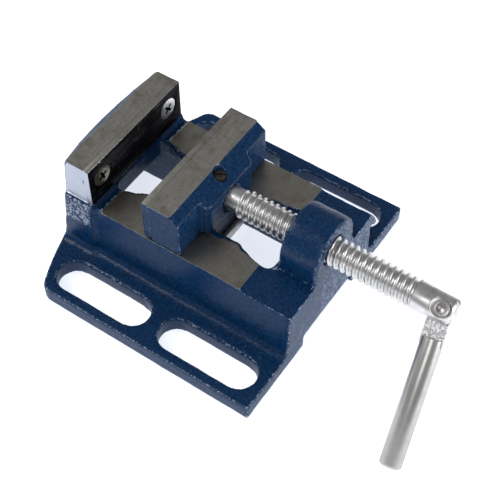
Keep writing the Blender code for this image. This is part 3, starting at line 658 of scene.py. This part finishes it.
# %% Zinc finishes
def metal(name, dark, light, roughness, wear=0.05, streak=None):
    """A bare or plated metal with a cloudy colour and fine marks."""
    material = new_material(name, Metallic=1.0)
    cloud = grain(material, 260, 4.0, 0.6)
    marks = grain(material, streak or 1800, 3.0, 0.6)
    surface(material, Base_Color=mixed(material, between(material, cloud, 0.3, 0.7), dark, light),
            Roughness=between(material, marks, 0.3, 0.7, roughness - 0.06, roughness + 0.08),
            Normal=bumped(material, marks, wear * MM))
    return material


zinc = metal("bright_zinc", (0.55, 0.55, 0.54), (0.74, 0.74, 0.73), 0.32)
dull_zinc = metal("yellowed_zinc", (0.24, 0.21, 0.16), (0.38, 0.35, 0.28), 0.34)
print("zinc finishes:", zinc.name, dull_zinc.name)

# %% Turn a profile
def turned(profile, steps=64):
    """A closed solid of revolution about Z from (radius, height) pairs, top to bottom."""
    bm = bmesh.new()
    points = [bm.verts.new((r, 0, z)) for r, z in profile]
    line = [bm.edges.new(pair) for pair in zip(points, points[1:])]
    bmesh.ops.spin(bm, geom=points + line, cent=(0, 0, 0), axis=(0, 0, 1),
                   angle=math.tau, steps=steps, use_merge=True)
    bmesh.ops.remove_doubles(bm, verts=bm.verts, dist=0.002 * MM)
    bmesh.ops.recalc_face_normals(bm, faces=bm.faces)
    return bm


def combined(bm, tool, operation="DIFFERENCE"):
    """Cuts one bmesh with another, or joins them; both are used up."""
    thing, other = piece("solid", bm, None), piece("tool", tool, None)
    step = thing.modifiers.new("step", "BOOLEAN")
    step.operation = operation
    step.object = other
    step.solver = "EXACT"
    result = settled(thing)
    bpy.data.objects.remove(other)
    return result


trial = turned([(0, 1), (1, 1), (1, 0), (0, 0)], 8)
print("a turned trial has open edges:", sum(e.is_boundary for e in trial.edges))
trial.free()

# %% Shape of a cross-head screw
HEAD = 5.2 * MM
SHANK = 2.4 * MM
HEAD_DEPTH = 2.7 * MM
SCREW_LENGTH = 11.7 * MM
RECESS_DEPTH = 1.9 * MM
RECESS_REACH = 3.6 * MM


def cross_arm(turn):
    """One tapered bar of the cross that presses the recess."""
    bm = bmesh.new()
    bar = add_block(bm, (-3.3 * MM, -0.8 * MM, -RECESS_DEPTH), (3.3 * MM, 0.8 * MM, 1 * MM))
    bmesh.ops.scale(bm, vec=(0.42, 0.6, 1), verts=[v for v in bar if v.co.z < 0])
    bmesh.ops.rotate(bm, cent=(0, 0, 0), matrix=Matrix.Rotation(turn, 3, "Z"), verts=bar)
    return bm


def cross_screw():
    """A countersunk screw that points down, its head's face at height 0."""
    face = [(0, 0.05 * MM), (2.6 * MM, 0.02 * MM), (HEAD - 0.25 * MM, -0.06 * MM),
            (HEAD - 0.06 * MM, -0.14 * MM), (HEAD, -0.3 * MM)]
    stem = [(SHANK, -HEAD_DEPTH), (SHANK, -SCREW_LENGTH + 0.5 * MM),
            (SHANK - 0.5 * MM, -SCREW_LENGTH), (0, -SCREW_LENGTH)]
    screw = combined(turned(face + stem, 48), cross_arm(0))
    return combined(screw, cross_arm(math.pi / 2))


# %% Place the four screws
screw_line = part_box("fixed_jaw_screw_near")
screw_height = (screw_line[0].z + screw_line[1].z) / 2
for body, node, face, side, finish in (
        ("base", "fixed_jaw_screw_near", FIXED_FACE, 1, dull_zinc),
        ("base", "fixed_jaw_screw_far", FIXED_FACE, 1, zinc),
        ("slide", "moving_jaw_screw_near", MOVING_FACE, -1, zinc),
        ("slide", "moving_jaw_screw_far", MOVING_FACE, -1, zinc)):
    low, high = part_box(node)
    bm = cross_screw()
    # Painted shade: the faces inside the cross recess get the black material, so the recess reads
    # dark.
    for f in bm.faces:
        middle = f.calc_center_median()
        in_recess = -RECESS_DEPTH - 0.1 * MM < middle.z < -0.3 * MM
        f.material_index = int(in_recess and math.hypot(middle.x, middle.y) < RECESS_REACH)
    spin = 0.35 if node.endswith("near") else 0.75
    turn = Matrix.Rotation(side * math.pi / 2, 4, "Y") @ Matrix.Rotation(spin, 4, "Z")
    place = Matrix.Translation((face - side * 0.06 * MM, (low.y + high.y) / 2, screw_height))
    bm.transform(place @ turn)
    screw = piece(node.replace("jaw_screw", "plate_screw"), bm, body, finish, black)
    print(screw.name, "faces:", len(screw.data.polygons))
    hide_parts(node)
print("screw height in mm:", round(screw_height / MM, 2))

# %% [markdown]
# ## The spindle
#
# The spindle is turned from bright steel bar: a nose with a groove for the retaining screw, a
# plain shank, a long thread of 3 mm pitch and a forked head. The thread has rounded crests.
# Sweeping one pitch of its profile round and along the axis makes the whole screw: `spin` with
# a `dvec` moves the profile a little further at each step. The ends are then cut off square.

# %% Spindle sizes
PITCH = 3.0 * MM
CREST = 6.6 * MM
ROOT = 5.3 * MM
NOSE = 5.5 * MM
GROOVE = 4.0 * MM
HEAD_RADIUS = 6.3 * MM
FORK = 5.2 * MM
FORK_DEPTH = 12.5 * MM
SPOT = 5.2 * MM
SPOT_RADIUS = 4.6 * MM
PIN_HOLE = 2.7 * MM
BEYOND = 9 * MM
HEAD_END = spindle_high.x
HEAD_START = HEAD_END - 17.7 * MM
NOSE_TIP = spindle_low.x
THREAD_START = JAW_BACK + 6.0 * MM
RETAINER_X = MOVING_FACE + 16.5 * MM
DROP = math.atan2(-pin_line.y, pin_line.z)
LEAN = math.radians(8.5)
print("thread length in mm:", round((HEAD_START - THREAD_START) / MM, 1))

# %% Wind the thread
def thread(start, end, steps=48):
    """A closed threaded rod along X between two places."""
    bm = bmesh.new()
    waves = 14
    points = []
    for i in range(waves + 1):
        wave = math.cos(math.tau * i / waves)
        depth = 0.5 - 0.5 * math.copysign(abs(wave) ** 0.55, wave)
        points.append(bm.verts.new((i / waves * PITCH, 0, ROOT + (CREST - ROOT) * depth)))
    line = [bm.edges.new(pair) for pair in zip(points, points[1:])]
    turns = math.ceil((end - start) / PITCH) + 2
    bmesh.ops.spin(bm, geom=points + line, cent=(0, 0, 0), axis=(1, 0, 0),
                   dvec=(PITCH / steps, 0, 0), angle=math.tau * turns, steps=steps * turns)
    bmesh.ops.remove_doubles(bm, verts=bm.verts, dist=0.005 * MM)
    bmesh.ops.translate(bm, vec=(start - 1.5 * PITCH, 0, 0), verts=bm.verts)
    for place, way in ((start, -1), (end, 1)):
        bmesh.ops.bisect_plane(bm, geom=bm.verts[:] + bm.edges[:] + bm.faces[:],
                               dist=0.001 * MM, plane_co=(place, 0, 0), plane_no=(way, 0, 0),
                               clear_outer=True)
    bmesh.ops.holes_fill(bm, edges=[e for e in bm.edges if e.is_boundary])
    bmesh.ops.recalc_face_normals(bm, faces=bm.faces)
    return bm


along_x = Matrix.Rotation(math.pi / 2, 4, "Y")
wound = thread(THREAD_START, HEAD_START + 0.3 * MM)
print("thread faces:", len(wound.faces), "open edges:", sum(e.is_boundary for e in wound.edges))

# %% Turn the spindle's body
core = ROOT - 0.3 * MM
body_profile = [
    (0, HEAD_END), (HEAD_RADIUS - 1.3 * MM, HEAD_END),
    (HEAD_RADIUS - 1.0 * MM, HEAD_END - 0.1 * MM),
    (HEAD_RADIUS - 0.1 * MM, HEAD_END - 1.0 * MM), (HEAD_RADIUS, HEAD_END - 1.3 * MM),
    (HEAD_RADIUS, HEAD_START + 0.5 * MM), (HEAD_RADIUS - 0.4 * MM, HEAD_START),
    (core, HEAD_START), (core, THREAD_START + 0.3 * MM),
    (NOSE, THREAD_START + 0.3 * MM), (NOSE, RETAINER_X + 2 * MM), (GROOVE, RETAINER_X + 2 * MM),
    (GROOVE, RETAINER_X - 2 * MM), (NOSE, RETAINER_X - 2 * MM), (NOSE, NOSE_TIP + 0.3 * MM),
    (NOSE - 0.3 * MM, NOSE_TIP), (0, NOSE_TIP)]
bar = turned(body_profile, 64)
bar.transform(along_x)
bmesh.ops.recalc_face_normals(bar, faces=bar.faces)
bar = combined(bar, wound, "UNION")
print("spindle faces:", len(bar.faces), "open edges:", sum(e.is_boundary for e in bar.edges))

# %% [markdown]
# The head is milled like the real one: a slot for the handle's tongue, a flat spot face on
# either side for the rivet's heads, and a hole through both cheeks for the rivet.

# %% Mill the fork, the spot faces and the pin's hole
def pin_drill():
    """The cutter for the rivet's hole, along Z through the origin."""
    return turned([(0, BEYOND), (PIN_HOLE, BEYOND), (PIN_HOLE, -BEYOND), (0, -BEYOND)], 32)


fork_cutter = bmesh.new()
add_block(fork_cutter, (HEAD_END - FORK_DEPTH, -BEYOND, -FORK / 2),
          (HEAD_END + 2 * MM, BEYOND, FORK / 2))
bar = combined(bar, fork_cutter)
for side in (-1, 1):
    spot = turned([(0, BEYOND), (SPOT_RADIUS, BEYOND), (SPOT_RADIUS, SPOT), (0, SPOT)], 40)
    if side < 0:
        bmesh.ops.rotate(spot, cent=(0, 0, 0), matrix=Matrix.Rotation(math.pi, 3, "X"),
                         verts=spot.verts)
    bmesh.ops.translate(spot, vec=(pin_place.x, 0, 0), verts=spot.verts)
    bar = combined(bar, spot)
pin_hole = pin_drill()
bmesh.ops.translate(pin_hole, vec=(pin_place.x, 0, 0), verts=pin_hole.verts)
bar = combined(bar, pin_hole)
rim = [e for e in bar.edges if e.is_manifold and e.calc_face_angle(0) > math.radians(50)
       and min(v.co.x for v in e.verts) > HEAD_START + 1 * MM]
bmesh.ops.bevel(bar, geom=rim, offset=0.15 * MM, offset_type="OFFSET", affect="EDGES",
                segments=2, profile=0.5, material=-1, clamp_overlap=True)
spindle_turn_at_rest = Matrix.Translation((0, 0, axis_height)) @ Matrix.Rotation(DROP, 4, "X")
bar.transform(spindle_turn_at_rest)
print("open edges after milling:", sum(e.is_boundary for e in bar.edges))

# %% [markdown]
# Turned steel shows fine rings round its axis, left by the tool. Noise that is squeezed along
# X and stretched across it gives such rings on every turned part of the spindle.

# %% Turned steel and the spindle's object
steel = metal("turned_steel", (0.52, 0.515, 0.50), (0.72, 0.715, 0.70), 0.33, 0.02,
              streak=(5200, 160, 160))
screw_bar = piece("threaded_spindle", bar, "screw", steel, smooth=math.radians(35))
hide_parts("spindle")
print("spindle triangles:", sum(len(p.vertices) - 2 for p in screw_bar.data.polygons))

# %% [markdown]
# ## The handle and its pin
#
# The handle folds about a pin that is riveted over at both ends, which leaves a flat ring
# round a small dimple. The handle itself is plated bar. Its first stretch was pressed flat to
# fit the fork, and the press left that end rough and pale.

# %% The rivet
pin_top = 6.2 * MM
half = [(0, pin_top - 0.55 * MM), (0.9 * MM, pin_top - 0.5 * MM), (1.6 * MM, pin_top - 0.12 * MM),
        (1.9 * MM, pin_top), (3.3 * MM, pin_top - 0.04 * MM), (3.85 * MM, pin_top - 0.2 * MM),
        (4.0 * MM, pin_top - 0.45 * MM), (4.0 * MM, SPOT + 0.3 * MM), (2.4 * MM, SPOT + 0.3 * MM)]
rivet = turned(half + [(r, -z) for r, z in reversed(half)], 48)
at_pin = Matrix.Translation(pin_place) @ Matrix.Rotation(DROP, 4, "X")
rivet.transform(at_pin)
rivet_steel = metal("rivet_steel", (0.30, 0.29, 0.28), (0.46, 0.45, 0.44), 0.32, 0.05)
pin = piece("riveted_pin", rivet, "screw", rivet_steel)
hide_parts("handle_pin")
print("rivet faces:", len(pin.data.polygons))

# %% The handle's bar
HANDLE = 67 * MM
RADIUS = 4.75 * MM
FLAT_END = 12.5 * MM
THICK = FORK / 2 - 0.3 * MM
bar_profile = [(0, -FLAT_END), (RADIUS - 0.35 * MM, -FLAT_END), (RADIUS, -FLAT_END - 0.35 * MM),
               (RADIUS, -HANDLE + 1.15 * MM), (RADIUS - 0.15 * MM, -HANDLE + 0.9 * MM),
               (RADIUS - 0.85 * MM, -HANDLE + 0.12 * MM), (RADIUS - 1.1 * MM, -HANDLE),
               (0, -HANDLE)]
handle = turned(bar_profile, 64)
handle.transform(Matrix.Rotation(-math.pi / 2, 4, "X"))
tongue = bmesh.new()
add_block(tongue, (-RADIUS, -FLAT_END - 3 * MM, -THICK), (RADIUS, RADIUS, THICK))
ends = [e for e in tongue.edges if all(v.co.y > 0 for v in e.verts)
        and abs(e.verts[0].co.z - e.verts[1].co.z) > THICK]
bmesh.ops.bevel(tongue, geom=ends, offset=RADIUS - 0.01 * MM, offset_type="OFFSET",
                affect="EDGES", segments=10, profile=0.5, material=-1)
handle = combined(handle, tongue, "UNION")
handle = combined(handle, pin_drill())
print("handle open edges:", sum(e.is_boundary for e in handle.edges))

# %% Handle finishes
def along_handle(material):
    """Distance down the handle from its pin, as a value in metres."""
    place = add_node(material, "TexCoord").outputs["Object"]
    away = add_node(material, "VectorMath", {"operation": "SUBTRACT"})
    material.node_tree.links.new(place, away.inputs[0])
    away.inputs[1].default_value = pin_place
    down = add_node(material, "VectorMath", {"operation": "DOT_PRODUCT"})
    material.node_tree.links.new(away.outputs[0], down.inputs[0])
    down.inputs[1].default_value = handle_down
    return down.outputs["Value"]


handle_place = at_pin @ Matrix.Rotation(LEAN, 4, "Z")
handle_down = (handle_place.to_3x3() @ Vector((0, -1, 0))).normalized()
plate = new_material("plated_bar", Metallic=1.0)
speckle = grain(plate, 1300, 2.0, 0.6)
lower = between(plate, along_handle(plate), 0.030, 0.062)
plated_clouds = grain(plate, 200, 4.0)
surface(plate, Base_Color=mixed(plate, plated_clouds, (0.40, 0.40, 0.38), (0.56, 0.56, 0.54)),
        Roughness=between(plate, times(plate, lower, speckle), 0.15, 0.5, 0.34, 0.5),
        Normal=bumped(plate, times(plate, lower, speckle), 0.07 * MM))
pressed = new_material("pressed_end", Metallic=1.0)
crush = between(pressed, grain(pressed, 900, 3.0, 0.7), 0.4, 0.56)
surface(pressed, Base_Color=mixed(pressed, crush, (0.62, 0.62, 0.62), (0.97, 0.97, 0.98)),
        Roughness=0.55, Normal=bumped(pressed, crush, 0.35 * MM))
for face in handle.faces:
    face.material_index = int(face.calc_center_median().y > -FLAT_END + 0.05 * MM)
handle.transform(handle_place)
folding_handle = piece("folding_handle", handle, "handle", plate, pressed, smooth=math.radians(35))
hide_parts("handle_bar")
print("handle points down by degrees:", round(math.degrees(math.asin(-handle_down.z)), 1))

# %% [markdown]
# ## Small steel parts
#
# A headless screw in the jaw's top keeps the spindle's nose in place. It has rusted in its hole,
# and its colour is painted darker still as painted shade of the hole. Below the jaw a keeper plate
# with two hexagon screws and spring washers holds the jaw down on its ways.

# %% The retaining screw
RETAINER = 2.7 * MM
retainer_top = JAW_TOP - 2.6 * MM
stud = turned([(0, retainer_top), (RETAINER - 0.3 * MM, retainer_top),
               (RETAINER, retainer_top - 0.3 * MM), (RETAINER, retainer_top - 4 * MM),
               (1.4 * MM, retainer_top - 4.7 * MM), (1.4 * MM, axis_height + GROOVE + 0.3 * MM),
               (0, axis_height + GROOVE + 0.3 * MM)], 40)
slot_cutter = bmesh.new()
add_block(slot_cutter, (-4 * MM, -0.45 * MM, retainer_top - 0.9 * MM),
          (4 * MM, 0.45 * MM, retainer_top + 1 * MM))
bmesh.ops.rotate(slot_cutter, cent=(0, 0, 0), matrix=Matrix.Rotation(0.6, 3, "Z"),
                 verts=slot_cutter.verts)
stud = combined(stud, slot_cutter)
bmesh.ops.translate(stud, vec=(RETAINER_X, 0, 0), verts=stud.verts)
# Rust, painted very dark as painted shade of the hole around the stud.
rust_and_hole_shade = new_material("rusted_steel_and_hole_shade", Metallic=0.35)
bloom = grain(rust_and_hole_shade, 900, 4.0, 0.65)
surface(rust_and_hole_shade, Base_Color=mixed(rust_and_hole_shade, between(rust_and_hole_shade, bloom, 0.35, 0.65), (0.012, 0.009, 0.007),
                               (0.055, 0.038, 0.026)),
        Roughness=between(rust_and_hole_shade, bloom, 0.3, 0.7, 0.45, 0.8), Normal=bumped(rust_and_hole_shade, bloom, 0.12 * MM))
retainer = piece("rusted_retaining_screw", stud, "slide", rust_and_hole_shade)
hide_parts("spindle_retaining_screw")
print("retaining screw faces:", len(retainer.data.polygons))

# %% Keeper plate and washers
mild_steel = metal("milled_steel", (0.30, 0.29, 0.27), (0.46, 0.45, 0.42), 0.34, 0.03,
                   streak=(140, 3200, 140))
keeper = piece("guide_keeper", eased(cad_copy("keeper_plate"), 0.4 * MM), "slide", mild_steel)
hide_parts("keeper_plate")
for end in ("back", "front"):
    washer = piece("spring_washer_" + end, eased(cad_copy("keeper_washer_" + end), 0.12 * MM),
                   "slide", zinc)
    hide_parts("keeper_washer_" + end)
print("keeper faces:", len(keeper.data.polygons))

# %% Hexagon screws
for end in ("back", "front"):
    low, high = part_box("keeper_screw_" + end)
    middle = (low + high) / 2
    across = 4.2 * MM
    head_top = low.z + 3.2 * MM
    hexagon = bmesh.new()
    bmesh.ops.create_cone(hexagon, cap_ends=True, segments=6, radius1=across, radius2=across,
                          depth=3.2 * MM)
    bmesh.ops.translate(hexagon, vec=(0, 0, low.z + 1.6 * MM), verts=hexagon.verts)
    dome = turned([(0, head_top + 1 * MM), (across + 1 * MM, head_top + 1 * MM),
                   (across + 1 * MM, low.z + 1.2 * MM), (across - 0.35 * MM, low.z),
                   (0, low.z)], 48)
    hexagon = combined(hexagon, dome, "INTERSECT")
    shank = turned([(0, high.z), (2.1 * MM, high.z), (2.4 * MM, high.z - 0.3 * MM),
                    (2.4 * MM, head_top - 1 * MM), (0, head_top - 1 * MM)], 32)
    hexagon = combined(hexagon, shank, "UNION")
    bmesh.ops.translate(hexagon, vec=(middle.x, 0, 0), verts=hexagon.verts)
    bolt = piece("hexagon_screw_" + end, hexagon, "slide", zinc)
    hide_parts("keeper_screw_" + end)
print("hexagon head across corners in mm:", round(2 * across / MM, 1))
